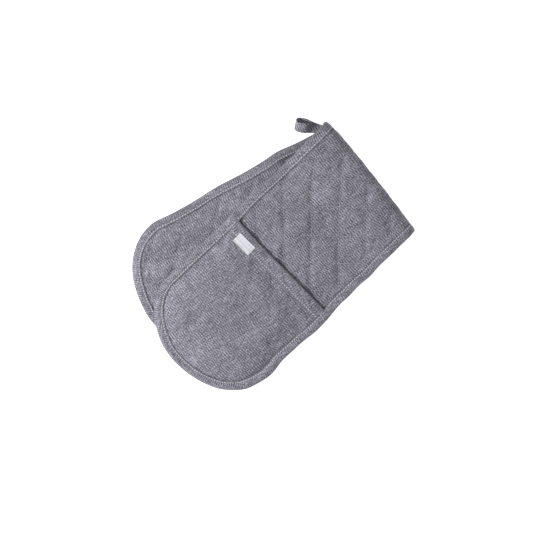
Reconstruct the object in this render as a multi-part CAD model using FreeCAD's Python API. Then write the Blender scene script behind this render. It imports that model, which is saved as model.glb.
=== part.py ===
import FreeCAD, Part
import math
import os

# A double oven glove: one quilted strip with rounded ends and a hand pocket on each end,
# folded in half with the pockets outward and lying flat, its two halves slightly fanned.
# X runs along the fold, +Y points towards the fold and +Z is up. Lengths are in millimetres.

# Overall size
WIDTH = 180.0
FRONT_LENGTH = 333.4        # along the half's own axis, from the start of the fold's bend
BACK_LENGTH = 326.4
FAN_HALF_ANGLE = 7.3        # each half's turn away from square to the fold, degrees

# Round end: a side arc, an end arc and a side arc, all tangent, as factors of the half width
SIDE_ARC_FACTOR = 0.75
END_ARC_FACTOR = 1.25

# Cloth and padding
FABRIC = 0.8
SLIT = 0.05                 # between pieces sewn to each other
BASE_THICK = 6.5
POCKET_THICK = 5.0
HAND_GAP = 5.0
HALF_GAP = 0.3              # between the two halves where they lie on each other

# Sewing
BINDING_WIDTH = 12.0
STITCH_INSET = 10.0
THREAD_WIDTH = 0.6
THREAD_DEPTH = 0.35
GROOVE_PLAY = 0.1

# Pocket
MOUTH = 148.4               # from the start of the fold's bend to the pocket's mouth
HEM_WIDTH = 17.0
HEM_STITCH = 14.5
PANEL_INSET = 12.4
TIP_CLEARANCE = 1.0

# The base strip comes down to the table between these distances from the fold
DIP_START = 80.0
DIP_END = 20.0

# The fold's bend
FOLD_CLEARANCE = 0.35

# Woven label, on the front pocket only
LABEL_LONG = 27.3
LABEL_SHORT = 14.0
LABEL_THICK = 0.5
LABEL_FROM_MOUTH = 8.7
LABEL_FROM_SIDE = 22.7
LABEL_STITCH_INSET = 1.6

# Hanging loop of doubled tape
LOOP_TAPE_WIDTH = 14.0
LOOP_TAPE_THICK = 1.1
LOOP_LENGTH = 27.0
LOOP_BASE_RADIUS = 1.5
LOOP_END_RADIUS = 5.8
LOOP_HEADING = 218.0        # direction it points, degrees round from +X
LOOP_TILT = 30.0            # of the tape's width away from upright
LOOP_BASE = (-96.2, -10.0, 9.4)
LOOP_TACK_LONG = 11.0
LOOP_TACK_SHORT = 1.8
LOOP_TACK_HIGH = 0.5

# Derived sizes
HALF_WIDTH = WIDTH / 2.0
SIDE_RADIUS = SIDE_ARC_FACTOR * HALF_WIDTH
END_RADIUS = END_ARC_FACTOR * HALF_WIDTH
SIDE_CENTRE = HALF_WIDTH - SIDE_RADIUS
CENTRE_DROP = math.sqrt((END_RADIUS - SIDE_RADIUS) ** 2 - SIDE_CENTRE ** 2)
SIDE_SETBACK = END_RADIUS - CENTRE_DROP
SIDE_SWEEP = math.degrees(math.atan2(CENTRE_DROP, SIDE_CENTRE))
BASE_LOW = POCKET_THICK + HAND_GAP
FOLD_MID_Z = BASE_LOW + BASE_THICK + HALF_GAP / 2.0
FOLD_RADIUS = FOLD_MID_Z
FOLD_HALF_SPAN = HALF_WIDTH / math.cos(math.radians(FAN_HALF_ANGLE))
BINDING_SPAN = BINDING_WIDTH / math.cos(math.radians(FAN_HALF_ANGLE))
LEAF_TOP = BASE_THICK - FABRIC
REACH = 500.0


def point(x, y, z=0.0):
    return FreeCAD.Vector(x, y, z)


def arc(centre_x, centre_y, radius, start, end):
    spots = []
    for degrees in (start, (start + end) / 2.0, end):
        turn = math.radians(degrees)
        spots.append(point(centre_x + radius * math.cos(turn), centre_y + radius * math.sin(turn)))
    return Part.Arc(*spots).toShape()


def box(x0, x1, y0, y1, z0, z1):
    return Part.makeBox(x1 - x0, y1 - y0, z1 - z0, point(x0, y0, z0))


def fanned(shape):
    """A shape drawn square to the fold, turned to the lower half's own direction."""
    turned = shape.copy()
    turned.rotate(point(0, 0), point(0, 0, 1), -FAN_HALF_ANGLE)
    return turned


def half_plan(length, inset, from_fold=-60.0, low=-5.0, high=60.0):
    """Prism of a half's outline moved inwards by inset, starting from_fold along the half."""
    side = HALF_WIDTH - inset
    corner_y = -(length - SIDE_SETBACK)
    end_y = -(length - END_RADIUS)
    corner_radius = SIDE_RADIUS - inset
    sweep = SIDE_SWEEP
    first = point(side, -from_fold)
    last = point(-side, -from_fold)
    edges = [
        Part.makeLine(first, point(side, corner_y)),
        arc(SIDE_CENTRE, corner_y, corner_radius, 0.0, -sweep),
        arc(0.0, end_y, END_RADIUS - inset, -sweep, -180.0 + sweep),
        arc(-SIDE_CENTRE, corner_y, corner_radius, -180.0 + sweep, -180.0),
        Part.makeLine(point(-side, corner_y), last),
        Part.makeLine(last, first),
    ]
    face = Part.Face(Part.Wire(edges))
    prism = face.extrude(point(0, 0, high - low))
    prism.translate(point(0, 0, low))
    return prism


def ring_plan(length, outer_inset, inner_inset, from_fold=-60.0):
    outer = half_plan(length, outer_inset, from_fold)
    inner = half_plan(length, inner_inset, from_fold - 10.0)
    return outer.cut(inner)


def dip_edges(height):
    """Side view of the base strip: flat over the pocket, then curving down to the table."""
    run = DIP_START - DIP_END
    radius = (run ** 2 + BASE_LOW ** 2) / (4.0 * BASE_LOW)
    quarter = math.asin(run / 2.0 / radius) / 2.0
    across = radius * math.sin(quarter)
    fall = radius * (1.0 - math.cos(quarter))
    far = point(0, -REACH, BASE_LOW + height)
    start = point(0, -DIP_START, BASE_LOW + height)
    upper = point(0, -DIP_START + across, BASE_LOW + height - fall)
    middle = point(0, -(DIP_START + DIP_END) / 2.0, BASE_LOW / 2.0 + height)
    lower = point(0, -DIP_END - across, height + fall)
    end = point(0, -DIP_END, height)
    near = point(0, 0, height)
    return [
        Part.makeLine(far, start),
        Part.Arc(start, upper, middle).toShape(),
        Part.Arc(middle, lower, end).toShape(),
        Part.makeLine(end, near),
    ]


def layer(low, high):
    """Slab of the base strip between two heights measured from its lower face."""
    bottom = dip_edges(low)
    top = dip_edges(high)
    near_side = Part.makeLine(point(0, 0, low), point(0, 0, high))
    far_side = Part.makeLine(
        point(0, -REACH, BASE_LOW + low), point(0, -REACH, BASE_LOW + high)
    )
    face = Part.Face(Part.Wire(Part.__sortEdges__(bottom + top + [near_side, far_side])))
    slab = face.extrude(point(2 * REACH, 0, 0))
    slab.translate(point(-REACH, 0, 0))
    return slab


def flat(low, high):
    return box(-REACH, REACH, -REACH, REACH, low, high)


def base_pieces(length):
    """Fabrics, wadding, binding and stitching of the strip, as the lower half lies."""
    whole = fanned(half_plan(length, 0.0))
    inside = fanned(half_plan(length, FABRIC))
    filling = fanned(half_plan(length, FABRIC + SLIT))
    cloth = fanned(half_plan(length, BINDING_WIDTH + SLIT))
    edge = fanned(ring_plan(length, 0.0, BINDING_WIDTH))
    pocket_edge = fanned(ring_plan(length, 0.0, BINDING_WIDTH, MOUTH))
    pocket_inside = fanned(half_plan(length, FABRIC, MOUTH + FABRIC))
    margin_edge = fanned(
        ring_plan(length, FABRIC + SLIT, BINDING_WIDTH, MOUTH + FABRIC + SLIT)
    )

    binding = layer(0.0, BASE_THICK).common(edge)
    binding = binding.fuse(flat(POCKET_THICK, BASE_LOW + FABRIC / 2.0).common(pocket_edge))
    hollow = layer(FABRIC, LEAF_TOP).common(inside)
    hollow = hollow.fuse(flat(POCKET_THICK + FABRIC, BASE_LOW + FABRIC).common(pocket_inside))
    binding = binding.cut(hollow)

    half_thread = THREAD_WIDTH / 2.0
    line = fanned(ring_plan(length, STITCH_INSET - half_thread, STITCH_INSET + half_thread))
    wide = half_thread + GROOVE_PLAY
    groove = fanned(ring_plan(length, STITCH_INSET - wide, STITCH_INSET + wide))
    deep = THREAD_DEPTH + SLIT
    before_mouth = fanned(box(-REACH, REACH, -MOUTH + SLIT, REACH, -REACH, REACH))
    past_mouth = fanned(box(-REACH, REACH, -REACH, -MOUTH - SLIT, -REACH, REACH))
    threads = [
        layer(BASE_THICK - THREAD_DEPTH, BASE_THICK).common(line),
        layer(0.0, THREAD_DEPTH).common(line).common(before_mouth),
        flat(POCKET_THICK, POCKET_THICK + THREAD_DEPTH).common(line).common(past_mouth),
    ]
    grooves = [
        layer(BASE_THICK - deep, BASE_THICK + 1.0).common(groove),
        layer(-1.0, deep).common(groove).common(before_mouth),
        flat(POCKET_THICK - 1.0, POCKET_THICK + deep).common(groove).common(past_mouth),
    ]
    for cutter in grooves:
        binding = binding.cut(cutter)

    margin = flat(POCKET_THICK + FABRIC + SLIT, BASE_LOW + FABRIC).common(margin_edge)
    return {
        "base_pocket_side_fabric": layer(0.0, FABRIC).common(cloth),
        "base_wadding": layer(FABRIC + SLIT, LEAF_TOP - SLIT).common(filling),
        "base_plain_side_fabric": layer(LEAF_TOP, BASE_THICK).common(cloth),
        "edge_binding": binding,
        "edge_stitching": Part.makeCompound(sum([t.Solids for t in threads], [])),
        "pocket_sewn_margin": margin,
    }


def pocket_pieces(length):
    """The pocket's movable panel, its mouth hem and the hem's stitching."""
    tip = box(-REACH, REACH, -(length - PANEL_INSET - TIP_CLEARANCE), REACH, -REACH, REACH)
    panel = half_plan(length, PANEL_INSET, MOUTH).common(tip)
    filling = half_plan(length, PANEL_INSET, MOUTH + FABRIC + SLIT).common(tip)
    cloth = half_plan(length, PANEL_INSET, MOUTH + HEM_WIDTH + SLIT).common(tip)
    inside = half_plan(length, PANEL_INSET - 1.0, MOUTH + FABRIC)
    hem_zone = box(-REACH, REACH, -MOUTH - HEM_WIDTH, REACH, -REACH, REACH)
    inner_leaf = POCKET_THICK - FABRIC

    hem = flat(0.0, POCKET_THICK).common(panel).common(hem_zone)
    hem = hem.cut(flat(FABRIC, inner_leaf).common(inside))
    stitch_y = -MOUTH - HEM_STITCH
    span = HALF_WIDTH - PANEL_INSET - 1.0
    wide = THREAD_WIDTH / 2.0 + GROOVE_PLAY
    thread = box(
        -span, span, stitch_y - THREAD_WIDTH / 2.0, stitch_y + THREAD_WIDTH / 2.0,
        0.0, THREAD_DEPTH,
    )
    groove = box(
        -span - GROOVE_PLAY, span + GROOVE_PLAY, stitch_y - wide, stitch_y + wide,
        -1.0, THREAD_DEPTH + SLIT,
    )
    hem = hem.cut(groove)
    pieces = {
        "pocket_outer_fabric": flat(0.0, FABRIC).common(cloth),
        "pocket_wadding": flat(FABRIC + SLIT, inner_leaf - SLIT).common(filling),
        "pocket_lining": flat(inner_leaf, POCKET_THICK).common(cloth),
        "pocket_hem": hem,
        "hem_stitching": thread,
    }
    return {name: fanned(shape) for name, shape in pieces.items()}


def label_pieces():
    """Label and its two end seams, drawn on the lower face like the rest of a pocket."""
    left = HALF_WIDTH - LABEL_FROM_SIDE - LABEL_LONG
    right = HALF_WIDTH - LABEL_FROM_SIDE
    top = -MOUTH - LABEL_FROM_MOUTH
    bottom = top - LABEL_SHORT
    face = -SLIT - LABEL_THICK
    tag = box(left, right, bottom, top, face, -SLIT)
    seams = []
    for centre in (left + LABEL_STITCH_INSET, right - LABEL_STITCH_INSET):
        seams.append(
            box(
                centre - THREAD_WIDTH / 2.0, centre + THREAD_WIDTH / 2.0,
                bottom + 1.0, top - 1.0,
                face - SLIT - THREAD_DEPTH / 2.0, face - SLIT,
            )
        )
    return {"label": fanned(tag), "label_stitching": fanned(Part.makeCompound(seams))}


def raised(shape):
    """A piece of the lower half carried over to the upper half."""
    turned = shape.copy()
    turned.rotate(point(0, 0, FOLD_MID_Z), point(0, 1, 0), 180.0)
    return turned


def bend(inner, outer, x0, x1):
    """Half tube round the fold between two radii."""
    start = point(x0, 0, FOLD_MID_Z)
    along = point(1, 0, 0)
    tube = Part.makeCylinder(outer, x1 - x0, start, along)
    tube = tube.cut(Part.makeCylinder(inner, x1 - x0, start, along))
    return tube.common(box(x0, x1, FOLD_CLEARANCE, REACH, -REACH, REACH))


def fold_pieces():
    outer = FOLD_RADIUS
    inner = FOLD_RADIUS - BASE_THICK
    cloth = FOLD_HALF_SPAN - BINDING_SPAN - SLIT
    filling = FOLD_HALF_SPAN - FABRIC - SLIT
    bindings = []
    threads = []
    thread_x = FOLD_HALF_SPAN - STITCH_INSET
    half_thread = THREAD_WIDTH / 2.0
    wide = half_thread + GROOVE_PLAY
    for side in (-1.0, 1.0):
        ends = sorted((side * FOLD_HALF_SPAN, side * (FOLD_HALF_SPAN - BINDING_SPAN)))
        band = bend(inner, outer, ends[0], ends[1])
        hollow_ends = sorted((side * (FOLD_HALF_SPAN - FABRIC), side * (cloth - 1.0)))
        band = band.cut(bend(inner + FABRIC, outer - FABRIC, hollow_ends[0], hollow_ends[1]))
        centre = side * thread_x
        band = band.cut(
            bend(outer - THREAD_DEPTH - SLIT, outer + 1.0, centre - wide, centre + wide)
        )
        bindings.append(band)
        threads.append(
            bend(outer - THREAD_DEPTH, outer, centre - half_thread, centre + half_thread)
        )
    return {
        "fold_outer_fabric": bend(outer - FABRIC, outer, -cloth, cloth),
        "fold_wadding": bend(inner + FABRIC + SLIT, outer - FABRIC - SLIT, -filling, filling),
        "fold_inner_fabric": bend(inner, inner + FABRIC, -cloth, cloth),
        "fold_edge_binding": Part.makeCompound(bindings),
        "fold_edge_stitching": Part.makeCompound(threads),
    }


def tapered_slot(base_radius, end_radius, length):
    """Two circles on the X axis joined by their outer tangents, as a face."""
    base_x = LOOP_BASE_RADIUS
    end_x = length - LOOP_END_RADIUS
    lean = math.degrees(math.asin((end_radius - base_radius) / (end_x - base_x)))
    base_arc = arc(base_x, 0.0, base_radius, 90.0 + lean, 270.0 - lean)
    end_arc = arc(end_x, 0.0, end_radius, -90.0 - lean, 90.0 + lean)
    lower = Part.makeLine(base_arc.Vertexes[-1].Point, end_arc.Vertexes[0].Point)
    upper = Part.makeLine(end_arc.Vertexes[-1].Point, base_arc.Vertexes[0].Point)
    return Part.Face(Part.Wire([base_arc, lower, end_arc, upper]))


def loop_pieces():
    outer = tapered_slot(LOOP_BASE_RADIUS, LOOP_END_RADIUS, LOOP_LENGTH)
    inner = tapered_slot(
        LOOP_BASE_RADIUS - LOOP_TAPE_THICK, LOOP_END_RADIUS - LOOP_TAPE_THICK, LOOP_LENGTH
    )
    tape = outer.cut(inner).extrude(point(0, 0, LOOP_TAPE_WIDTH))
    tape.translate(point(0, 0, -LOOP_TAPE_WIDTH / 2.0))
    tape.rotate(point(0, 0), point(1, 0, 0), LOOP_TILT)
    tape.rotate(point(0, 0), point(0, 0, 1), LOOP_HEADING)
    tape.translate(point(*LOOP_BASE))
    slant = math.tan(math.radians(FAN_HALF_ANGLE))
    tack_x = -FOLD_HALF_SPAN + slant * LOOP_BASE[1] + 4.0
    tack = box(
        tack_x - LOOP_TACK_SHORT / 2.0, tack_x + LOOP_TACK_SHORT / 2.0,
        LOOP_BASE[1] - LOOP_TACK_LONG / 2.0, LOOP_BASE[1] + LOOP_TACK_LONG / 2.0,
        BASE_THICK + SLIT, BASE_THICK + SLIT + LOOP_TACK_HIGH,
    )
    return {"hanging_loop": tape, "loop_bar_tack": tack}


def all_pieces():
    pieces = {}
    for name, shape in base_pieces(BACK_LENGTH).items():
        pieces["back_" + name] = shape
    for name, shape in pocket_pieces(BACK_LENGTH).items():
        pieces["back_" + name] = shape
    for name, shape in base_pieces(FRONT_LENGTH).items():
        pieces["front_" + name] = raised(shape)
    for name, shape in pocket_pieces(FRONT_LENGTH).items():
        pieces["front_" + name] = raised(shape)
    for name, shape in label_pieces().items():
        pieces[name] = raised(shape)
    pieces.update(fold_pieces())
    pieces.update(loop_pieces())
    return pieces


def bottom_centre(pieces):
    """Centre of the underside of the box round every piece."""
    boxes = [shape.optimalBoundingBox() for shape in pieces.values()]
    x = (min(b.XMin for b in boxes) + max(b.XMax for b in boxes)) / 2.0
    y = (min(b.YMin for b in boxes) + max(b.YMax for b in boxes)) / 2.0
    z = min(b.ZMin for b in boxes)
    return point(x, y, z)


PIECES = all_pieces()
ORIGIN = bottom_centre(PIECES)
os.makedirs("parts", exist_ok=True)
for node, shape in PIECES.items():
    placed = shape.copy()
    placed.translate(-ORIGIN)
    placed.exportStep("parts/" + node + ".step")
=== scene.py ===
import math

import bmesh
import bpy
import numpy as np
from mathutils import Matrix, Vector
from mathutils.bvhtree import BVHTree


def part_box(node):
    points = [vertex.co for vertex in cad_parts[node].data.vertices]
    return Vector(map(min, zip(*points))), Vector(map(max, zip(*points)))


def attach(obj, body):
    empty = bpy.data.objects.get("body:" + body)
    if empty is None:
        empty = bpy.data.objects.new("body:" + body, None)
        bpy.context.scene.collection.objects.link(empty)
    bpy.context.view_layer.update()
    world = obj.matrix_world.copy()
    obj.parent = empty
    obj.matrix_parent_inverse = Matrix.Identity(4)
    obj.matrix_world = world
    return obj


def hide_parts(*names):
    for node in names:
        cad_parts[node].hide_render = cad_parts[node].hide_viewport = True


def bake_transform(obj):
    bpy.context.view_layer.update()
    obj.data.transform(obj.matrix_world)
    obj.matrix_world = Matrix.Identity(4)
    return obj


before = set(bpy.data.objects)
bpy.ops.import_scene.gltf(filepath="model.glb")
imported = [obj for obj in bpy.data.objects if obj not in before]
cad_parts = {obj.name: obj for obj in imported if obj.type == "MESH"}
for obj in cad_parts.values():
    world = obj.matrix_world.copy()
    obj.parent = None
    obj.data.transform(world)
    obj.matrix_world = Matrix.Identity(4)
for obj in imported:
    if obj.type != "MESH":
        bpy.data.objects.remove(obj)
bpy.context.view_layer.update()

# Lengths are in millimetres until a mesh is made.
MM = 0.001

# ---- sizes of the frame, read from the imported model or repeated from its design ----
fold_lo, fold_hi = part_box("fold_outer_fabric")
X0 = (fold_lo.x + fold_hi.x) / 2 / MM
Y0 = fold_lo.y / MM - 0.35          # where the strip starts to bend round the fold
ZH = (fold_lo.z + fold_hi.z) / 2 / MM
WIDTH = 180.0
HW = WIDTH / 2
LENGTHS = {"back": 326.4, "front": 333.4}
FAN = math.radians(7.3)
COS, SIN, TAN = math.cos(FAN), math.sin(FAN), math.tan(FAN)
THICK = 6.5
BASE_LOW = 10.0
DIP_START, DIP_END = 80.0, 20.0
MID_R = ZH - THICK / 2
NOSE_T = -math.pi / 2 * MID_R / COS  # the strip's own length coordinate at the middle of the fold
MOUTH = 148.4
HEM = 17.0
BIND = 12.0
SIDE_R, END_R = 0.75 * HW, 1.25 * HW
SIDE_C = HW - SIDE_R
DROP = math.sqrt((END_R - SIDE_R) ** 2 - SIDE_C ** 2)
SWEEP = math.atan2(SIDE_C, DROP)
MID_H = THICK / 2                   # middle of the strip's thickness
SEW_HALF = 1.05                     # half thickness under a quilting stitch
EDGE_HALF = 1.9                     # half thickness where the binding grips the strip
CELL = 2.5
PITCH = 20                          # grid cells between parallel quilting lines, along either axis
GROW = {"back": (0.022, 0.009), "front": (0.014, 0.007)}
STITCH_INSET = 10.0                 # of the binding's topstitching
HEM_STITCH = 14.5
POCKET_RIM = -3.0                   # the binding's outer face where it holds a pocket too
SEAM_OUT = -2.1                     # a pocket's outer cloth where the binding grips it
SEAM_IN = -0.5                      # its lining there
DOME = 7.5
LABEL_V = (HW - 23.7 - 27.3, HW - 23.7)
LABEL_S = (MOUTH + 8.2, MOUTH + 21.2)
# Air pressure, shrinkage, frames and furthest move of the simulated pads.
STRIP_AIR = (3.0, -0.012, 12, 0.9)
POCKET_AIR = (1.5, -0.012, 12, 0.8)
rng = np.random.default_rng(11)


def smooth(t):
    t = np.clip(t, 0.0, 1.0)
    return t * t * (3 - 2 * t)


def waves(a, b, seed, size, count=5):
    """Smooth wandering value of about unit size, with a wavelength of about size."""
    r = np.random.default_rng(seed)
    total = np.zeros(np.broadcast(a, b).shape)
    for _ in range(count):
        turn, phase = r.uniform(0, 2 * math.pi, 2)
        k = 2 * math.pi / (size * r.uniform(0.7, 1.5))
        total = total + np.sin(k * (a * math.cos(turn) + b * math.sin(turn)) + phase)
    return total / math.sqrt(count / 2)


# ---- the shape of a half ----
def dip(y):
    """Height of the strip's lower face, which comes down towards the fold."""
    run = DIP_START - DIP_END
    return BASE_LOW * (1 - smooth((y + DIP_START) / run))


def inset_of(half, v, s):
    """How far a point of the strip lies inside its outline."""
    length = LENGTHS[half]
    av = np.abs(v)
    side = HW - av
    corner_s = length - END_R + DROP
    corner = SIDE_R - np.hypot(s - corner_s, av - SIDE_C)
    end_s = length - END_R
    end = END_R - np.hypot(s - end_s, v)
    in_end = (s > end_s) & (np.abs(np.arctan2(av, s - end_s)) < SWEEP)
    return np.where(in_end, end, np.where(s > corner_s, corner, side))


def place(half, v, s, h):
    """Row frame position of a point: v across, s along from the fold, h above the pocket side."""
    v, s, h = np.broadcast_arrays(np.asarray(v, float), np.asarray(s, float), np.asarray(h, float))
    y = -v * SIN - s * COS
    # Away from the fold the half is a little larger than its pattern, and its edges wander.
    calm = smooth((-y - 10) / 60)
    edge = smooth((np.abs(v) - 55) / 30)
    loose = (0.2 + 0.4 * (v < 0)) if half == "front" else 0.25
    v = v * (1 + GROW[half][0] * calm) + loose * edge * calm * waves(s, 0 * s, 41, 44)
    s = s * (1 + GROW[half][1] * calm)
    y2 = -v * SIN - s * COS
    x = np.where(y > 0, v / COS, v * COS - s * SIN)
    # Past y = 0 the strip bends round the fold.
    turn = np.maximum(y, 0) / MID_R
    r = ZH - h
    z = np.where(y > 0, ZH - r * np.cos(turn), dip(y) + h)
    ny = np.where(y > 0, r * np.sin(turn), y2)
    seed = 3 if half == "front" else 5
    x = x + calm * 0.6 * waves(x, y, seed, 95)
    ny = ny + calm * 0.6 * waves(x, y, seed + 20, 95)
    if half == "front":
        x, z = -x, 2 * ZH - z
    # The fold bulges in its middle and is skewed, and its corners are drawn in.
    ny = ny + smooth((ny + 70) / 70) * (1.8 * np.cos(math.pi * x / 200) + 0.024 * x)
    corner = smooth(turn) * smooth((np.abs(x) - 68) / 22)
    x = x + corner * np.where(x > 0, -1.8, -4.0)
    ny = ny - corner * np.where(x > 0, 0.0, 2.2)
    return np.stack([x + X0, ny + Y0, z], -1)


def linked(name, data):
    obj = bpy.data.objects.new(name, data)
    bpy.context.scene.collection.objects.link(obj)
    return obj


def make(name, points, faces, cloth=None, material=None, seam=None):
    """A smooth mesh object. Its points keep their place on the cloth, and how much painted shade
    darkens its seams and grooves there.
    """
    mesh = bpy.data.meshes.new(name)
    mesh.from_pydata((np.asarray(points) * MM).tolist(), [], [list(map(int, f)) for f in faces])
    mesh.validate()
    mesh.shade_smooth()
    if cloth is not None:
        layer = mesh.attributes.new("cloth", "FLOAT_VECTOR", "POINT")
        layer.data.foreach_set("vector", np.asarray(cloth, np.float32).ravel())
    if seam is not None:
        layer = mesh.attributes.new("seam", "FLOAT", "POINT")
        layer.data.foreach_set("value", np.asarray(seam, np.float32))
    if material:
        mesh.materials.append(material)
    return linked(name, mesh)


def tube_faces(rings, count):
    """Faces of a tube of rings of count points each, with its two ends closed."""
    faces = []
    for k in range(rings - 1):
        for number in range(count):
            a, b = k * count + number, k * count + (number + 1) % count
            faces.append([a, b, b + count, a + count])
    faces.append(list(range(count)))
    faces.append([(rings - 1) * count + n for n in reversed(range(count))])
    return faces


def outward(obj):
    """Turns every face of a closed mesh to face out."""
    bm = bmesh.new()
    bm.from_mesh(obj.data)
    bmesh.ops.recalc_face_normals(bm, faces=bm.faces)
    bm.to_mesh(obj.data)
    bm.free()
    return obj


def settle(obj, levels):
    """Applies a subdivision, so that the mesh is final."""
    mod = obj.modifiers.new("soften", "SUBSURF")
    mod.levels = mod.render_levels = levels
    dg = bpy.context.evaluated_depsgraph_get()
    final = bpy.data.meshes.new_from_object(obj.evaluated_get(dg))
    obj.modifiers.clear()
    obj.data = final
    return obj


def finer(grid):
    """Twice as many grid points, on a smooth curve through the old ones."""
    for _ in range(2):
        ends = np.concatenate([2 * grid[:1] - grid[1:2], grid, 2 * grid[-1:] - grid[-2:-1]])
        mid = (9 * (ends[1:-2] + ends[2:-1]) - (ends[:-3] + ends[3:])) / 16
        wide = np.empty((2 * len(grid) - 1,) + grid.shape[1:])
        wide[::2], wide[1::2] = grid, mid
        grid = np.swapaxes(wide, 0, 1)
    return grid


def surface(*objects):
    """Search tree over the final meshes of some pieces, in millimetres."""
    points, faces = [], []
    for obj in objects:
        base = len(points)
        points += [v.co / MM for v in obj.data.vertices]
        faces += [[base + i for i in f.vertices] for f in obj.data.polygons]
    return BVHTree.FromPolygons(points, faces)


def laid_on(tree, points, ups, lift):
    """Points moved along ups until they lie lift above a surface."""
    ups = ups / np.linalg.norm(ups, axis=-1, keepdims=True)
    moved = np.array(points, float)
    for k, (p, up) in enumerate(zip(points, ups)):
        hit = tree.ray_cast(Vector(p + up * 5.0), Vector(-up), 10.0)
        if hit[0] is not None:
            moved[k] = np.array(hit[0]) + up * lift
    return moved


def halves(obj, across, names):
    """Cuts a finished mesh along its middle line into two closed ones that meet there."""
    made = []
    for name, sign in names:
        bm = bmesh.new()
        bm.from_mesh(obj.data)
        bm.verts.ensure_lookup_table()
        gone = [f for f in bm.faces if sign * sum(across[v.index] for v in f.verts) < 0]
        bmesh.ops.delete(bm, geom=gone, context="FACES")
        rim = [e for e in bm.edges if e.is_boundary]
        for e in rim:
            e.smooth = False
        wall = bmesh.ops.contextual_create(bm, geom=rim)["faces"]
        bmesh.ops.triangulate(bm, faces=wall)
        mesh = bpy.data.meshes.new(name)
        bm.to_mesh(mesh)
        bm.free()
        mesh.materials.append(obj.data.materials[0])
        made.append(linked(name, mesh))
    bpy.data.objects.remove(obj)
    return made


# ---- materials ----
def attribute(tree, name):
    made = tree.nodes.new("ShaderNodeAttribute")
    made.attribute_name = name
    return made.outputs


def new_material(name, roughness, sheen):
    """A material, with its tree, its shader and each point's place on the cloth."""
    material = bpy.data.materials.new(name)
    material.use_nodes = True
    tree = material.node_tree
    shader = tree.nodes["Principled BSDF"]
    shader.inputs["Roughness"].default_value = roughness
    shader.inputs["Sheen Weight"].default_value = sheen
    return material, tree, shader, attribute(tree, "cloth")["Vector"]


def bump(tree, shader, height, strength, distance):
    made = tree.nodes.new("ShaderNodeBump")
    made.inputs["Strength"].default_value = strength
    made.inputs["Distance"].default_value = distance
    tree.links.new(height, made.inputs["Height"])
    tree.links.new(made.outputs[0], shader.inputs["Normal"])


def split(tree, vector):
    made = tree.nodes.new("ShaderNodeSeparateXYZ")
    tree.links.new(vector, made.inputs[0])
    return made.outputs


def math_node(tree, operation, a, b=None):
    made = tree.nodes.new("ShaderNodeMath")
    made.operation = operation
    for slot, value in zip(made.inputs, (a, b)):
        if value is None:
            continue
        if isinstance(value, (int, float)):
            slot.default_value = value
        else:
            tree.links.new(value, slot)
    return made.outputs[0]


def stretched_noise(tree, source, scale, seed, detail=2.0):
    moved = tree.nodes.new("ShaderNodeMapping")
    moved.inputs["Scale"].default_value = scale
    moved.inputs["Location"].default_value = (seed * 3.7, seed * 1.9, seed)
    tree.links.new(source, moved.inputs["Vector"])
    noise = tree.nodes.new("ShaderNodeTexNoise")
    noise.inputs["Scale"].default_value = 1.0
    noise.inputs["Detail"].default_value = detail
    noise.inputs["Roughness"].default_value = 0.6
    tree.links.new(moved.outputs[0], noise.inputs["Vector"])
    return noise.outputs["Fac"]


def ramp(tree, fac, stops):
    made = tree.nodes.new("ShaderNodeValToRGB")
    ends = made.color_ramp.elements
    while len(ends) < len(stops):
        ends.new(0.5)
    for e, (at, colour) in zip(ends, stops):
        e.position = at
        e.color = (*colour, 1)
    tree.links.new(fac, made.inputs[0])
    return made.outputs[0]


def mix(tree, fac, a, b):
    made = tree.nodes.new("ShaderNodeMix")
    made.data_type = "RGBA"
    for slot, value in ((made.inputs[0], fac), (made.inputs[6], a), (made.inputs[7], b)):
        if isinstance(value, (int, float)):
            slot.default_value = value
        elif isinstance(value, tuple):
            slot.default_value = (*value, 1)
        else:
            tree.links.new(value, slot)
    return made.outputs[2]


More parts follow.
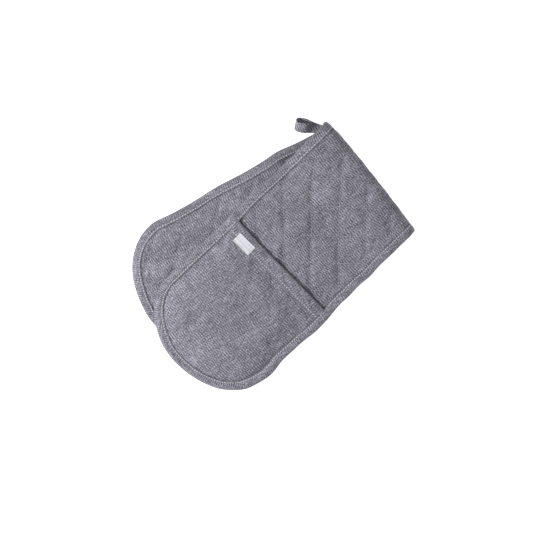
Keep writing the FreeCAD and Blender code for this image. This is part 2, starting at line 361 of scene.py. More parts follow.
def woven(name, turn, rows=0.34, slubs=0.5, row=3.05):
    """Uneven two-tone cloth: rows of pale and dark flecks, long slubs and a fine plain weave, with
    painted shade where the seam attribute is set.
    """
    material, tree, shader, cloth = new_material(name, 0.95, 0.12)
    turned = tree.nodes.new("ShaderNodeMapping")
    turned.inputs["Rotation"].default_value = (0, 0, math.radians(turn))
    tree.links.new(cloth, turned.inputs["Vector"])
    flat = turned.outputs[0]
    across, along, _ = split(tree, flat)

    def wave(value, length, drift, amount):
        turns = math_node(tree, "MULTIPLY", value, 2 * math.pi / length)
        shift = math_node(tree, "MULTIPLY", math_node(tree, "SUBTRACT", drift, 0.5), amount)
        return math_node(tree, "SINE", math_node(tree, "ADD", turns, shift))

    slow = stretched_noise(tree, flat, (0.10, 0.035, 1), 7)
    slower = stretched_noise(tree, flat, (0.05, 0.02, 1), 9, 1.0)
    flecks = math_node(tree, "MULTIPLY", wave(along, row, slow, 6.0), wave(across, 15.6, slower, 10.0))
    sx = wave(across, 1.5, slow, 3.0)
    sy = wave(along, 1.5, slower, 3.0)
    weave = math_node(tree, "MULTIPLY", sx, sy)
    slub = stretched_noise(tree, flat, (0.62, 0.085, 1), 1, 3.0)
    weft = stretched_noise(tree, flat, (0.10, 0.75, 1), 2)
    broad = stretched_noise(tree, flat, (0.05, 0.012, 1), 3)
    speck = stretched_noise(tree, flat, (0.62, 0.46, 1), 4, 1.0)

    def share(value, middle, amount):
        return math_node(tree, "MULTIPLY", math_node(tree, "SUBTRACT", value, middle), amount)

    total = math_node(tree, "ADD", share(flecks, 0.0, rows), share(weave, 0.0, 0.10))
    for piece in (share(slub, 0.5, 2.4 * slubs), share(weft, 0.5, 1.1 * slubs),
                  share(broad, 0.5, 0.5), share(speck, 0.5, 1.35)):
        total = math_node(tree, "ADD", total, piece)
    fac = math_node(tree, "ADD", math_node(tree, "MULTIPLY", total, 0.68), 0.5)
    dark, mid, light = (tuple(k * c for c in TONE) for k in (0.22, 0.92, 2.3))
    colour = ramp(tree, fac, [(0.08, dark), (0.5, mid), (0.94, light)])
    # Painted shade: where the seam attribute is set, the colour is mixed towards a dark tone, standing
    # in for shadow in grooves and along stitching.
    painted_seam_shade = math_node(tree, "MULTIPLY", attribute(tree, "seam")["Fac"], 0.75)
    colour = mix(tree, painted_seam_shade, colour, tuple(0.12 * c for c in TONE))
    tree.links.new(colour, shader.inputs["Base Color"])
    height = math_node(tree, "ADD", math_node(tree, "MULTIPLY", flecks, 0.5), weave)
    height = math_node(tree, "ADD", height, math_node(tree, "MULTIPLY", slub, 2.0))
    bump(tree, shader, height, 0.5, 0.0004)
    shader.inputs["Sheen Roughness"].default_value = 0.5
    shader.inputs["Specular IOR Level"].default_value = 0.15
    return material


def tape_material(name, low, high):
    """Smooth narrow-woven tape: very fine ribs across it."""
    material, tree, shader, cloth = new_material(name, 0.6, 0.1)
    noise = stretched_noise(tree, cloth, (0.25, 1.6, 1), 5)
    tree.links.new(ramp(tree, noise, [(0.3, low), (0.7, high)]), shader.inputs["Base Color"])
    along = split(tree, cloth)[1]
    rib = math_node(tree, "SINE", math_node(tree, "MULTIPLY", along, 10.0))
    bump(tree, shader, rib, 0.25, 0.0002)
    return material


def thread_material(name, low, high):
    """Twisted sewing thread: fine slanting ridges and a little change of tone."""
    material, tree, shader, cloth = new_material(name, 0.7, 0.2)
    noise = stretched_noise(tree, cloth, (0.9, 0.9, 0.9), 5)
    tree.links.new(ramp(tree, noise, [(0.3, low), (0.7, high)]), shader.inputs["Base Color"])
    along, around, _ = split(tree, cloth)
    slant = math_node(tree, "ADD", along, around)
    twist = math_node(tree, "SINE", math_node(tree, "MULTIPLY", slant, 14.0))
    bump(tree, shader, twist, 0.4, 0.0001)
    shader.inputs["Specular IOR Level"].default_value = 0.3
    return material


TONE = (0.232, 0.227, 0.268)        # the cloth's middle colour, linear
M_BASE = woven("base_cloth", 0)
M_POCKET = woven("pocket_cloth", 0, rows=0.28, slubs=0.55)
M_BINDING = woven("binding_cloth", 14, rows=0.30, row=2.75)
M_HEM = woven("hem_cloth", 76, rows=0.26, row=2.9)
M_LOOP = woven("loop_tape", 40, rows=0.45, row=3.0)
M_LABEL = tape_material("label_tape", (0.58, 0.58, 0.63), (0.72, 0.72, 0.77))
M_THREAD = thread_material("thread", (0.50, 0.50, 0.54), (0.80, 0.80, 0.84))
M_QUILT_THREAD = thread_material("quilting_thread", (0.36, 0.36, 0.40), (0.60, 0.60, 0.65))
M_LABEL_THREAD = thread_material("label_thread", (0.55, 0.55, 0.59), (0.72, 0.72, 0.76))

# ---- quilted strip ----
# One quilting crossing of each half, and how far the pattern drifts towards the fold so that the
# two halves' lines meet there.
LATTICE = {"front": (0.0, 94.2, 0.0, 0.0), "back": (-60.0, 232.2, 10.0, 12.0)}


def cloth_place(half, p, t):
    """Pattern coordinates, on which the quilting is regular, to strip coordinates."""
    _, _, shift_v, shift_s = LATTICE[half]
    drift = 1 - smooth((t - 30) / 170)
    v = p + shift_v * drift
    s = t + shift_s * drift
    bend = 1 - smooth(t / 70)
    return v, s - bend * (v * TAN + shift_s * drift * smooth(1 - t / 30))


def line_gap(offset):
    """Distance from the nearest of the quilting lines that lie PITCH cells apart."""
    period = PITCH * CELL
    return np.abs((offset + period / 2) % period - period / 2) / math.sqrt(2)


def sewn_gap(half, p, t):
    """Distance from the nearest quilting line."""
    v0, s0, _, _ = LATTICE[half]
    return np.minimum(line_gap((p - v0) - (t - s0)), line_gap((p - v0) + (t - s0)))


def puff(half, p, t):
    """Share of its full thickness that the strip has: 0 on a quilting line, 1 between them."""
    v0, s0, _, _ = LATTICE[half]
    reach = PITCH * CELL / math.sqrt(2) / 2
    fullness = 3.8
    a = 1 - (1 - line_gap((p - v0) - (t - s0)) / reach) ** fullness
    b = 1 - (1 - line_gap((p - v0) + (t - s0)) / reach) ** fullness
    return np.sqrt(np.clip(a * b, 0, 1))


def simulate(obj, pinned, pressure, shrink, frames, cap):
    """Cloth with air pressure inside; the moved points come back, none further than cap."""
    scene = bpy.context.scene
    start = np.array([v.co for v in obj.data.vertices])
    group = obj.vertex_groups.new(name="pin")
    group.add([int(i) for i in pinned], 1.0, "REPLACE")
    mod = obj.modifiers.new("cloth", "CLOTH")
    c = mod.settings
    c.quality = 4
    c.mass = 0.15
    c.tension_stiffness = c.compression_stiffness = 12
    c.shear_stiffness = 5
    c.bending_stiffness = 0.3
    c.tension_damping = c.compression_damping = c.shear_damping = 8
    c.air_damping = 2
    c.vertex_group_mass = "pin"
    c.use_pressure = True
    c.uniform_pressure_force = pressure
    c.shrink_min = shrink
    c.effector_weights.gravity = 0
    mod.collision_settings.use_collision = False
    mod.point_cache.frame_start = 1
    mod.point_cache.frame_end = frames
    scene.frame_start = 1
    scene.frame_end = frames
    for number in range(1, frames + 1):
        scene.frame_set(number)
    dg = bpy.context.evaluated_depsgraph_get()
    done = obj.evaluated_get(dg).to_mesh()
    end = np.array([v.co for v in done.vertices])
    obj.evaluated_get(dg).to_mesh_clear()
    obj.modifiers.clear()
    obj.vertex_groups.clear()
    scene.frame_set(1)
    move = end - start
    far = np.linalg.norm(move, axis=1)
    share = np.minimum(1, cap * MM / np.maximum(far, 1e-12))
    return (start + move * share[:, None]) / MM


def pad_faces(keep, index_top, index_low):
    """Top, underside and side walls of a pad over the kept cells of a grid."""
    faces = []
    rows, cols = keep.shape
    for j in range(rows):
        for i in range(cols):
            if not keep[j, i]:
                continue
            ring = [(j, i), (j, i + 1), (j + 1, i + 1), (j + 1, i)]
            faces.append([index_top[k] for k in ring])
            faces.append([index_low[k] for k in reversed(ring)])
            sides = (((j - 1, i), 0, 1), ((j, i + 1), 1, 2), ((j + 1, i), 2, 3), ((j, i - 1), 3, 0))
            for (nj, ni), a, b in sides:
                if 0 <= nj < rows and 0 <= ni < cols and keep[nj, ni]:
                    continue
                faces.append([index_top[ring[b]], index_top[ring[a]],
                              index_low[ring[a]], index_low[ring[b]]])
    return faces


def corners_of(keep):
    """Which corners of a grid its kept cells use, each one's number, and how many there are."""
    rows, cols = keep.shape
    used = np.zeros((rows + 1, cols + 1), bool)
    for dj in (0, 1):
        for di in (0, 1):
            used[dj:dj + rows, di:di + cols] |= keep
    number = -np.ones(used.shape, int)
    number[used] = np.arange(used.sum())
    return used, number, int(used.sum())


def pad(v, s, top, low, good, fixed, push, shape, tint):
    """Padded panel: a coarse pad is blown up as cloth, then remade on a finer grid."""
    keep = good[:-1, :-1] & good[1:, :-1] & good[1:, 1:] & good[:-1, 1:]
    used, number, count = corners_of(keep)
    tops = np.stack([v, -s, top], -1)
    lows = np.stack([v, -s, low], -1)
    faces = pad_faces(keep, number, np.where(number >= 0, number + count, -1))
    coarse = make("coarse", np.concatenate([tops[used], lows[used]]), faces)
    pins = np.flatnonzero(np.concatenate([fixed[used], fixed[used]]))
    moved = simulate(coarse, pins, *push)
    bpy.data.objects.remove(coarse)
    tops[used], lows[used] = moved[:count], moved[count:]
    tops, lows, flat = finer(tops), finer(lows), finer(np.stack([v, s], -1))
    keep = np.kron(keep, np.ones((2, 2), int)).astype(bool)
    used, number, count = corners_of(keep)
    tops[..., 2], lows[..., 2] = shape(tops[..., 2], lows[..., 2])
    points = np.concatenate([tops[used], lows[used]])
    faces = pad_faces(keep, number, np.where(number >= 0, number + count, -1))
    flat = np.concatenate([flat[used], flat[used]])
    cloth = np.c_[flat, np.zeros(2 * count)]
    cloth[:, 0] += tint
    cloth[count:, 0] += 400
    return points, faces, cloth, flat, used


def quilted_strip(half):
    """Two cloths and the wadding between them, sewn together along diamonds."""
    v0, s0, _, _ = LATTICE[half]
    length = LENGTHS[half]
    # The grid's lines fall on the quilting's crossings, so that each stitch line runs through
    # corners of cells.
    ts = [s0 + CELL * k for k in range(-200, 200)]
    ts = np.array([NOSE_T] + [t for t in ts if NOSE_T + 1.2 < t < length])
    ps = np.array([v0 + CELL * k for k in range(-80, 81)])
    ps = ps[np.abs(ps) < 105]
    p, t = np.meshgrid(ps, ts)
    v, s = cloth_place(half, p, t)
    inset = inset_of(half, v, s)
    grip = smooth((inset - BIND) / 9)
    thick = SEW_HALF + (MID_H - 0.45 - SEW_HALF) * puff(half, p, t)
    thick = EDGE_HALF + (thick - EDGE_HALF) * grip
    i = np.round((p - v0) / CELL).astype(int)
    j = np.round((t - s0) / CELL).astype(int)
    sewn = ((i - j) % PITCH == 0) | ((i + j) % PITCH == 0)
    fixed = (inset < BIND + 0.5) | sewn | (t == ts[0])
    fine_p, fine_t = np.moveaxis(finer(np.stack([p, t], -1)), -1, 0)
    fine_inset = inset_of(half, *np.moveaxis(finer(np.stack([v, s], -1)), -1, 0))
    gap = sewn_gap(half, fine_p, fine_t)
    sink = 0.85 * (1 - smooth(gap / 4.2))
    sewn_half = EDGE_HALF + (SEW_HALF - EDGE_HALF) * smooth((fine_inset - BIND) / 9)

    def dimple(top, low):
        top, low = (MID_H * np.tanh((h / MID_H) ** 3 * 0.35 + h / MID_H) for h in (top, low))
        return (np.maximum(top + (sewn_half - top) * sink, sewn_half * 0.9),
                np.minimum(low + (-sewn_half - low) * sink, -sewn_half * 0.9))

    points, faces, cloth, _, used = pad(v, s, thick, -thick, inset > 5.0, fixed,
                                        STRIP_AIR, dimple, 0)
    placed = place(half, points[:, 0], -points[:, 1], points[:, 2] + MID_H)
    # Painted shade along the quilting lines and in the groove where the binding meets the strip.
    seam = 0.30 * np.exp(-(gap / 1.3) ** 2) + 0.4 * np.exp(-((fine_inset - BIND - 0.5) / 0.9) ** 2)
    seam = np.concatenate([seam[used], seam[used]])
    return outward(make(half + "_quilted_strip", placed, faces, cloth, M_BASE, seam))


# ---- the run of the binding round a half ----
def rim_path(half, step):
    """Points and inward directions of the outline, from one side of the fold to the other."""
    length = LENGTHS[half]
    corner_s = length - END_R + DROP
    end_s = length - END_R
    side_run = corner_s - NOSE_T
    corner_run = SIDE_R * (math.pi / 2 - SWEEP)
    end_run = END_R * 2 * SWEEP
    total = 2 * side_run + 2 * corner_run + end_run
    count = int(round(total / step))
    at = np.linspace(0, total, count + 1)
    v, s, nv, ns = (np.zeros(len(at)) for _ in range(4))
    for k, a in enumerate(at):
        mirror = a > total / 2
        b = total - a if mirror else a
        if b < side_run:
            pv, pt, iv, it = HW, NOSE_T + b, -1.0, 0.0
        elif b < side_run + corner_run:
            turn = (b - side_run) / SIDE_R
            iv, it = -math.cos(turn), -math.sin(turn)
            pv, pt = SIDE_C - SIDE_R * iv, corner_s - SIDE_R * it
        else:
            turn = math.pi / 2 - SWEEP + (b - side_run - corner_run) / END_R
            iv, it = -math.cos(turn), -math.sin(turn)
            pv, pt = -END_R * iv, end_s - END_R * it
        sign = 1 if mirror else -1
        v[k], s[k], nv[k], ns[k] = sign * pv, pt, sign * iv, it
    return at, v, s, nv, ns


def strip_point(v, t):
    """Strip coordinates of a point whose t runs square to the fold near the fold."""
    return v, t - (1 - smooth(t / 70)) * v * TAN


def rim_leaves(s):
    """Heights of the binding's two faces: plain side, pocket side."""
    pocket = smooth((s - MOUTH + 8) / 14)
    top = MID_H + EDGE_HALF + 0.8
    low = (MID_H - EDGE_HALF - 0.8) * (1 - pocket) + POCKET_RIM * pocket
    return top, low


def rim_profile(top, low):
    """Cross-section of the binding, as inset and height, from its plain side edge round."""
    mid, half_high = (top + low) / 2, (top - low) / 2
    leaf = [(11.6, -0.95), (12.1, -0.55), (12.0, 0.0), (11.2, 0.15), (10.0, -0.40), (8.7, 0.15),
            (6.5, 0.40), (4.6, 0.20)]
    pts = [(e, top + d) for e, d in leaf]
    for k in range(1, 10):
        a = math.pi * k / 10
        pts.append((3.6 - 3.6 * math.sin(a) ** 0.85, mid + (half_high - 0.1) * math.cos(a)))
    pts += [(e, low - d) for e, d in reversed(leaf)]
    return pts


def edge_binding(half):
    """Binding round the whole edge of a half, gathered a little where it is stitched."""
    at, v, s, nv, ns = rim_path(half, 2.4)
    points, cloth, seam = [], [], []
    wob = 0.30 * waves(at, 0 * at, 31 if half == "front" else 37, 42)
    pucker = 0.28 * np.sin(2 * math.pi * at / 5.3 + wob * 4)
    top, low = rim_leaves(s)
    top = np.full(len(at), top)
    for k in range(len(at)):
        ring = rim_profile(top[k], low[k])
        count = len(ring)
        for number, (e, h) in enumerate(ring):
            tuck = math.exp(-((e - 9.0) / 3.0) ** 2)
            side = 1 if h > (top[k] + low[k]) / 2 else -1
            e2 = e + (wob[k] * 0.5 if e > 9 else 0) - 0.25 * wob[k] * (e < 3)
            sv, st = strip_point(v[k] + nv[k] * e2, s[k] + ns[k] * e2)
            points.append((sv, st, h + side * tuck * pucker[k]))
            cloth.append((number * 1.5, at[k], 0))
            # Painted shade in the groove at the binding's inner edge and along its stitch line.
            seam.append(0.4 * (e > 11.5) + 0.2 * (9.5 < e < 10.5))
    points = np.array(points)
    faces = tube_faces(len(at), count)
    placed = place(half, points[:, 0], points[:, 1], points[:, 2])
    obj = make(half + "_bound_edge", placed, faces, cloth, M_BINDING, seam)
    outward(obj)
    return settle(obj, 1)


# ---- stitches ----
def stitches(name, starts, ends, ups, radius, material, sides=6):
    """Short arched lengths of thread from each start to each end."""
    starts, ends, ups = (np.asarray(a, float) for a in (starts, ends, ups))
    along = ends - starts
    length = np.linalg.norm(along, axis=1, keepdims=True)
    along = along / np.maximum(length, 1e-9)
    ups = ups - along * (ups * along).sum(1, keepdims=True)
    ups = ups / np.linalg.norm(ups, axis=1, keepdims=True)
    side = np.cross(along, ups)
    rings = [(0.0, 0.25, -0.9), (0.12, 0.8, -0.25), (0.35, 1.0, 0.1), (0.65, 1.0, 0.1),
             (0.88, 0.8, -0.25), (1.0, 0.25, -0.9)]
    points, cloth = [], []
    for share, wide, lift in rings:
        centre = starts + along * length * share + ups * lift * radius
        for k in range(sides):
            a = 2 * math.pi * k / sides
            points.append(centre + (side * math.cos(a) + ups * math.sin(a)) * radius * wide)
            cloth.append(np.c_[share * length[:, 0] + 3 * np.arange(len(starts)),
                               np.full(len(starts), k * 0.3), np.zeros(len(starts))])
    points = np.stack(points, 1)
    cloth = np.stack(cloth, 1)
    count = len(rings) * sides
    one = []
    for r in range(len(rings) - 1):
        for k in range(sides):
            a, b = r * sides + k, r * sides + (k + 1) % sides
            one.append([a, b, b + sides, a + sides])
    one.append(list(reversed(range(sides))))
    one.append([(len(rings) - 1) * sides + k for k in range(sides)])
    faces = [[f + n * count for f in face] for n in range(len(starts)) for face in one]
    obj = make(name, points.reshape(-1, 3), faces, cloth.reshape(-1, 3), material)
    return outward(obj)


def rim_stitching(half, binding):
    """Topstitching of the binding, on both of its faces."""
    starts, ends, ups = [], [], []
    at, v, s, nv, ns = rim_path(half, 1.0)
    total = at[-1]
    top, low = rim_leaves(s)
    top = np.full(len(at), top)
    for face, heights in ((1, top), (-1, low)):
        begin = np.arange(0.6, total - 3.4, 3.9)
        inset = STITCH_INSET + rng.uniform(-0.15, 0.15, len(begin))
        ends_at = begin + 3.1
        pair = []
        for where in (begin, ends_at):
            vv, ss, a, b, h = (np.interp(where, at, q) for q in (v, s, nv, ns, heights))
            vv, ss = strip_point(vv + a * inset, ss + b * inset)
            pair.append(place(half, vv, ss, h + face * -0.12))
            if where is begin:
                above = place(half, vv, ss, h + face * 0.9)
                ups.append(above - pair[0])
        starts.append(pair[0])
        ends.append(pair[1])
    return laid_stitches(half + "_edge_thread", surface(binding), starts, ends, ups, 0.54, M_THREAD)


def laid_stitches(name, tree, starts, ends, ups, radius, material, sides=6):
    """Stitches that lie on a surface, from lists of their starts, ends and upward directions."""
    starts, ends, ups = (np.concatenate(a) for a in (starts, ends, ups))
    starts = laid_on(tree, starts, ups, radius * 0.35)
    ends = laid_on(tree, ends, ups, radius * 0.35)
    return stitches(name, starts, ends, ups, radius, material, sides)


def quilt_stitching(half, strip):
    """Thread of the diamond quilting, on both faces of the strip."""
    v0, s0, _, _ = LATTICE[half]
    length = LENGTHS[half]
    period = PITCH * CELL
    starts, ends, ups = [], [], []
    for direction in (1, -1):
        for k in range(-14, 15):
            run = np.arange(NOSE_T + 0.8, length, 3.0)
            fold_end = run + 2.3
            line = []
            for t in (run, fold_end):
                p = v0 + direction * (t - s0) + k * period
                v, s = cloth_place(half, p, t)
                line.append((v, s))
            inset = np.minimum(inset_of(half, *line[0]), inset_of(half, *line[1]))
            inside = inset > BIND + 0.6
            for face in (1, -1):
                use = inside if face > 0 else inside & (run < MOUTH + 40)
                if not use.any():
                    continue
                height = []
                for v, s in line:
                    grip = smooth((inset_of(half, v, s) - BIND) / 9)
                    h = EDGE_HALF + (SEW_HALF - EDGE_HALF) * grip
                    height.append(MID_H + face * (h + 0.05))
                a = place(half, line[0][0], line[0][1], height[0])[use]
                b = place(half, line[1][0], line[1][1], height[1])[use]
                up = place(half, line[0][0], line[0][1], height[0] + face)[use]
                starts.append(a)
                ends.append(b)
                ups.append(up - a)
    return laid_stitches(half + "_quilting_thread", surface(strip), starts, ends, ups, 0.34,
                         M_QUILT_THREAD, 5)


# ---- pockets ----
def pocket_heights(half, v, s):
    """Heights of a pocket's outer cloth and of its lining."""
    inset = inset_of(half, v, s)
    d = np.clip((inset - BIND - 0.3) / 48, 0, 1)
    rise = 1 - (1 - d) ** 2.8
    opened = smooth((s - MOUTH) / 60)
    near_mouth = 0.20 + 0.80 * opened
    seed = 51 if half == "front" else 57
    soft = 0.45 * waves(v, s, seed, 62) + 0.30 * waves(v, s, seed + 3, 27, 7)
    crease = 0.5 * np.exp(-((s - MOUTH - 97 - 4 * np.sin(v / 24)) / 4.5) ** 2)
    rumple = (soft - crease) * smooth(d * 4) * smooth((s - MOUTH - HEM) / 12)
    out = SEAM_OUT - DOME * rise * near_mouth - rumple
    out = np.maximum(out, -BASE_LOW + 0.15)
    thick = (SEAM_IN - SEAM_OUT) + 2.6 * smooth(d * 3) * (0.5 + 0.5 * opened)
    return out, out + thick


def sides(half, word):
    """Names of the two halves of a piece, with the side of the middle line each is on."""
    signs = (1, -1) if half == "back" else (-1, 1)
    return [(f"{half}_{word}_{side}", sign) for side, sign in zip(("right", "left"), signs)]


def pocket_panel(half):
    """Padded pocket below its hem, as a right and a left half."""
    cell = 2.6
    v, s = np.meshgrid(np.arange(-32, 33) * cell, np.arange(MOUTH + HEM - 2.5, LENGTHS[half], cell))
    inset = inset_of(half, v, s)
    out, inn = pocket_heights(half, v, s)
    fixed = (inset < BIND + 0.5) | (s < MOUTH + HEM + 1)
    points, faces, cloth, flat, _ = pad(v, s, -out, -inn, inset > 6.5, fixed, POCKET_AIR,
                                        lambda top, low: (np.minimum(top, BASE_LOW - 0.1), low), 900)
    placed = place(half, points[:, 0], -points[:, 1], -points[:, 2])
    # Painted shade in the groove along the binding's inner edge.
    seam = 0.4 * np.exp(-((inset_of(half, flat[:, 0], flat[:, 1]) - BIND - 0.5) / 0.9) ** 2)
    whole = outward(make("pocket_whole", placed, faces, cloth, M_POCKET, seam))
    return halves(whole, flat[:, 0], sides(half, "pocket"))


def hem_bow(v):
    """How far the mouth strays from a straight line."""
    return 0.6 * np.sin(v / 26.0 + 0.6) + 0.9 * (v / HW) ** 2


def pocket_hem(half):
    """A folded band of cloth that wraps the pocket's mouth."""
    vs = np.linspace(-(HW - 7.0), HW - 7.0, 129)
    profile = [(e, "out", lift) for e, lift in (
        (17.5, -0.35), (17.4, 0.20), (16.9, 0.60), (15.8, 0.66), (HEM_STITCH, 0.25), (13.2, 0.60),
        (11.0, 0.85), (8.0, 0.98), (5.0, 1.00), (2.6, 0.85))]
    profile += [(2.2 - 2.2 * math.sin(math.pi * k / 8), "edge", k / 8) for k in range(1, 8)]
    profile += [(e, "in", lift) for e, lift in (
        (2.6, 0.4), (7.0, 0.5), (12.0, 0.4), (16.9, 0.3), (17.4, -0.3))]
    rows, cloth, seam = [], [], []
    puckers = 0.10 * np.sin(vs / 0.85) + 0.12 * waves(vs, 0 * vs, 91, 17)
    for number, (e, kind, lift) in enumerate(profile):
        s = MOUTH + e + hem_bow(vs)
        out, inn = pocket_heights(half, vs, MOUTH + max(e, 2.2) + hem_bow(vs))
        if kind == "out":
            h = out - lift - puckers * (10 < e < 17)
        elif kind == "in":
            h = inn + lift
        else:
            h = out - 0.75 + (inn + 0.4 - out + 0.75) * (1 - math.cos(math.pi * lift)) / 2
        rows.append(np.c_[vs, s, h])
        cloth.append(np.c_[vs + 2100, np.full(len(vs), number * 1.7), 0 * vs])
        # Painted shade at the hem's lower edge, where it meets the pocket, and along its stitch line.
        dark = 0.6 * (kind == "out" and e > 17.0) + 0.2 * (kind == "out" and e == HEM_STITCH)
        seam.append(np.full(len(vs), dark))
    points = np.stack(rows, 1).reshape(-1, 3)
    cloth = np.stack(cloth, 1).reshape(-1, 3)
    faces = tube_faces(len(vs), len(profile))
    placed = place(half, points[:, 0], points[:, 1], points[:, 2])
    whole = outward(make("hem_whole", placed, faces, cloth, M_HEM, np.stack(seam, 1).ravel()))
    return halves(whole, points[:, 0], sides(half, "hem"))


def hem_stitching(half, sign, hem):
    """Topstitching along one half of a hem."""
    begin = np.arange(0.3, HW - BIND - 3.0, 3.7)
    line = []
    for v in (begin * sign, (begin + 2.9) * sign):
        s = MOUTH + HEM_STITCH + hem_bow(v)
        out, _ = pocket_heights(half, v, s)
        line.append((v, s, out - 0.42))
    a, b = (place(half, *q) for q in line)
    up = place(half, line[0][0], line[0][1], line[0][2] - 1.0) - a
    return laid_stitches(hem.name.replace("hem", "hem_thread"), surface(hem), [a], [b], [up],
                         0.50, M_THREAD)


# ---- label ----
def label_turn(v, s):
    """The label is sewn on square to the hem, which runs a little askew here."""
    dv, ds = v - np.mean(LABEL_V), s - np.mean(LABEL_S)
    return v - 0.06 * ds, s + 0.06 * dv


def label(tree):
    """Woven tape that lies on the pocket and spans its small hollows."""
    across = np.linspace(LABEL_V[0], LABEL_V[1], 41)
    down = np.linspace(LABEL_S[0], LABEL_S[1], 25)
    flat_v, flat_s = np.meshgrid(across, down)
    v, s = label_turn(flat_v, flat_s)
    out, _ = pocket_heights("front", v, s)
    base = place("front", v, s, out).reshape(-1, 3)
    up = place("front", v, s, out - 1.0).reshape(-1, 3) - base
    lie = (laid_on(tree, base, up, 0.0) - base)[:, 2].reshape(v.shape)
    flat = lie.copy()
    for _ in range(12):
        wide = np.pad(flat, 1, mode="edge")
        flat = (wide[:-2, 1:-1] + wide[2:, 1:-1] + wide[1:-1, :-2] + wide[1:-1, 2:]) / 4
        flat = np.maximum(flat, lie + 0.08)
    curl = 0.35 * smooth((np.abs(flat_s - flat_s.mean()) - 4.0) / 2.4)
    points, cloth = [], []
    for gap in (0.50, 0.06):
        lifted = base.copy()
        lifted[:, 2] += (flat + gap + curl * (gap > 0.3)).ravel()
        points.append(lifted)
        cloth.append(np.c_[flat_v.ravel() + 50 * gap, flat_s.ravel(), np.zeros(v.size)])
    index = np.arange(v.size).reshape(v.shape)
    keep = np.ones((v.shape[0] - 1, v.shape[1] - 1), bool)
    faces = pad_faces(keep, index, index + v.size)
    return outward(make("woven_label", np.concatenate(points), faces, np.concatenate(cloth), M_LABEL))


def label_stitching(tag):
    """A seam across each end of the label."""
    starts, ends, ups = [], [], []
    for v in (LABEL_V[0] + 1.5, LABEL_V[1] - 1.5):
        begin = np.arange(LABEL_S[0] + 0.9, LABEL_S[1] - 2.2, 2.3)
        vv, ss = label_turn(np.full(len(begin), v), begin)
        out, _ = pocket_heights("front", vv, ss)
        a = place("front", vv, ss, out)
        starts.append(a)
        ends.append(place("front", *label_turn(np.full(len(begin), v), begin + 1.8), out))
        ups.append(place("front", vv, ss, out - 1.0) - a)
    return laid_stitches("label_thread", surface(tag), starts, ends, ups, 0.22, M_LABEL_THREAD)


# ---- hanging loop ----
LOOP_HEADING = math.radians(221)
LOOP_TILT = math.radians(50)
LOOP_EDGE = np.array([-HW / COS + 1.6, 1.2, 3.6])


def hanging_loop():
    """Doubled tape: flat in the seam, then turning up on its edge and opening into an eye."""
    d = np.array([math.cos(LOOP_HEADING), math.sin(LOOP_HEADING), 0.0])
    m = np.array([math.sin(LOOP_HEADING), -math.cos(LOOP_HEADING), 0.0])
    up = np.array([0.0, 0.0, 1.0])
    seam = np.array([SIN, -COS, 0.0])
    standing = math.cos(LOOP_TILT) * up + math.sin(LOOP_TILT) * m
    reach, end_r, tape, thick = 36.0, 6.2, 15.0, 1.1
    straight = np.linspace(0, reach - end_r, 22)
    round_end = np.linspace(-math.pi / 2, math.pi / 2, 15)[1:-1]

    def gap(p):
        return 0.6 + (end_r - 0.6) * smooth((p - 10) / (reach - end_r - 15))

    line = [(p, -gap(p)) for p in straight]
    line += [(reach - end_r + end_r * math.cos(a), end_r * math.sin(a)) for a in round_end]
    line += [(p, gap(p)) for p in straight[::-1]]
    line = np.array(line)
    tangent = np.gradient(line, axis=0)
    tangent /= np.linalg.norm(tangent, axis=1, keepdims=True)
    out = np.stack([tangent[:, 1], -tangent[:, 0]], 1)
    points, cloth = [], []
    run = np.r_[0, np.cumsum(np.linalg.norm(np.diff(line, axis=0), axis=1))]
    section = [(-1, 0.0), (-0.97, 0.5), (-0.6, 0.5), (0, 0.46), (0.6, 0.5), (0.97, 0.5), (1, 0.0),
               (0.97, -0.5), (0.6, -0.5), (0, -0.46), (-0.6, -0.5), (-0.97, -0.5)]
    for k, (p, q) in enumerate(line):
        share = smooth((p - 4) / 20)
        wide = (1 - share) * -seam + share * standing
        wide = wide - d * (wide @ d) * share
        wide /= np.linalg.norm(wide)
        n = np.cross(wide, d)
        n /= np.linalg.norm(n)
        centre = LOOP_EDGE + d * p + up * 6.4 * share
        for w, t in section:
            where = line[k] + out[k] * thick * t
            points.append(centre + d * (where[0] - p) + n * where[1] + wide * w * tape / 2)
            cloth.append((w * tape / 2, run[k], 0))
    faces = tube_faces(len(line), len(section))
    points = np.array(points) + np.array([X0, Y0, 0])
    obj = make("hanging_loop_tape", points, faces, cloth, M_LOOP)
    outward(obj)
    return settle(obj, 1), d


def bar_tack():
    """Close satin stitches across the binding, over the sewn end of the loop."""
    top, _ = rim_leaves(np.array([10.0]))
    count, reach, v = 18, 1.1, -HW + 3.4
    height = np.full(count, top + 0.25)
    begin = 10.0 / COS - 5.4 + 0.62 * np.arange(count)
    a = place("back", *strip_point(np.full(count, v - reach), begin), height)
    b = place("back", *strip_point(np.full(count, v + reach), begin + 0.3), height)
    up = np.tile([0.0, 0.0, 1.0], (count, 1))
    return stitches("loop_bar_tack_thread", a, b, up, 0.3, M_THREAD)


# ---- put together ----
def row(y, z):
    """A point of the fold's side view, in metres of the row frame."""
    return (X0 * MM, (Y0 + y) * MM, z * MM)


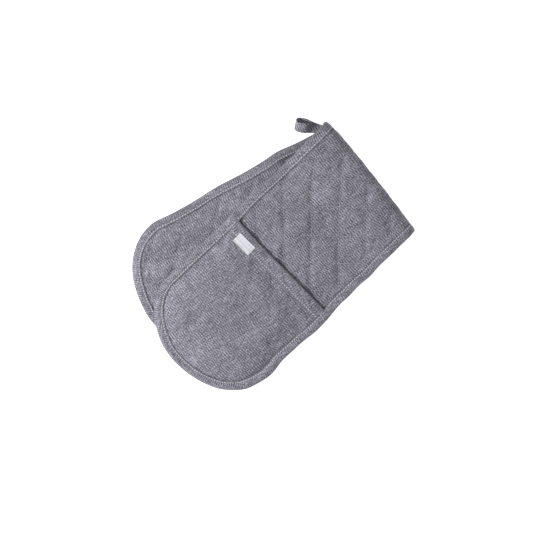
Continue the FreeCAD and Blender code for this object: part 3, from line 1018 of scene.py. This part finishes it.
for half in ("back", "front"):
    strip = quilted_strip(half)
    binding = edge_binding(half)
    rim_thread = rim_stitching(half, binding)
    quilt_thread = quilt_stitching(half, strip)
    for obj in (strip, binding, rim_thread, quilt_thread):
        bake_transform(obj)
    base = half + "_base_"
    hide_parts(base + "pocket_side_fabric", base + "wadding", base + "plain_side_fabric")
    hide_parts(half + "_edge_binding", half + "_pocket_sewn_margin")
    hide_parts(half + "_edge_stitching")
    if half == "back":
        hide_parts("fold_outer_fabric", "fold_wadding", "fold_inner_fabric")
        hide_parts("fold_edge_binding")
        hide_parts("fold_edge_stitching")
    middle_s = MOUTH + 60
    panels, hems = pocket_panel(half), pocket_hem(half)
    for (_, side), panel, hem in zip(sides(half, "pocket"), panels, hems):
        seam_point, centre_point = (
            tuple((place(half, side * v, middle_s, 0.0) * MM).tolist()) for v in (HW - BIND, 0.0)
        )
        hem_thread = hem_stitching(half, side, hem)
        pieces = [panel, hem, hem_thread]
        pocket = half + "_pocket_"
        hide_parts(pocket + "outer_fabric", pocket + "wadding", pocket + "lining")
        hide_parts(half + "_pocket_hem")
        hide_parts(half + "_hem_stitching")
        if half == "front" and side > 0:
            tag = label(surface(panel, hem))
            tag_thread = label_stitching(tag)
            pieces += [tag, tag_thread]
            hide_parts("label")
            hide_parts("label_stitching")
        for obj in pieces:
            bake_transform(obj)

loop, heading = hanging_loop()
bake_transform(loop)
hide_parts("hanging_loop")
tack = bar_tack()
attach(tack, "back_half")
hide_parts("loop_bar_tack")


# ---- floor, light and camera ----
PICTURE_RIGHT = np.array([0.6018, 0.7986, 0.0])     # the picture's axes on the table
PICTURE_UP = np.array([-0.7986, 0.6018, 0.0])


def pale_floor():
    mesh = bpy.data.meshes.new("floor")
    size, level = 6.0, -0.0004
    corners = [(-size, -size, level), (size, -size, level), (size, size, level), (-size, size, level)]
    mesh.from_pydata(corners, [], [(0, 1, 2, 3)])
    material = bpy.data.materials.new("pale_floor")
    material.use_nodes = True
    shader = material.node_tree.nodes["Principled BSDF"]
    shader.inputs["Base Color"].default_value = (0.93, 0.93, 0.93, 1)
    shader.inputs["Roughness"].default_value = 0.9
    shader.inputs["Specular IOR Level"].default_value = 0.1
    shader.inputs["Emission Color"].default_value = (1, 1, 1, 1)
    shader.inputs["Emission Strength"].default_value = 0.75
    mesh.materials.append(material)
    linked("floor", mesh)


def soft_light(name, place_at, size, power):
    data = bpy.data.lights.new(name, "AREA")
    data.shape = "DISK"
    data.size = size
    data.energy = power
    obj = linked(name, data)
    obj.location = place_at
    back = obj.location.normalized()
    obj.rotation_mode = "QUATERNION"
    obj.rotation_quaternion = back.to_track_quat("Z", "Y")


def studio():
    scene = bpy.context.scene
    world = bpy.data.worlds.new("studio")
    world.use_nodes = True
    shade = world.node_tree.nodes["Background"]
    shade.inputs[0].default_value = (1, 1, 1, 1)
    shade.inputs[1].default_value = 0.42
    scene.world = world
    key = PICTURE_UP * -0.10 + PICTURE_RIGHT * -1.00 + np.array([0, 0, 0.92])
    soft_light("key", tuple(key), 0.42, 18.3)
    scene.view_settings.view_transform = "Standard"
    scene.view_settings.look = "None"


def photo_camera():
    scene = bpy.context.scene
    data = bpy.data.cameras.new("camera")
    cam = linked("camera", data)
    distance, span, height = 1.8, 0.690, 0.025
    data.sensor_width = 36.0
    data.lens = 36.0 * (distance - height) / span
    turn = math.atan2(PICTURE_RIGHT[1], PICTURE_RIGHT[0])
    cam.location = ((X0 + 9.7) * MM, (Y0 - 164.6) * MM, distance)
    cam.rotation_euler = (0.0, 0.0, turn)
    data.clip_start = 0.1
    data.clip_end = 20.0
    scene.camera = cam


pale_floor()
studio()
photo_camera()
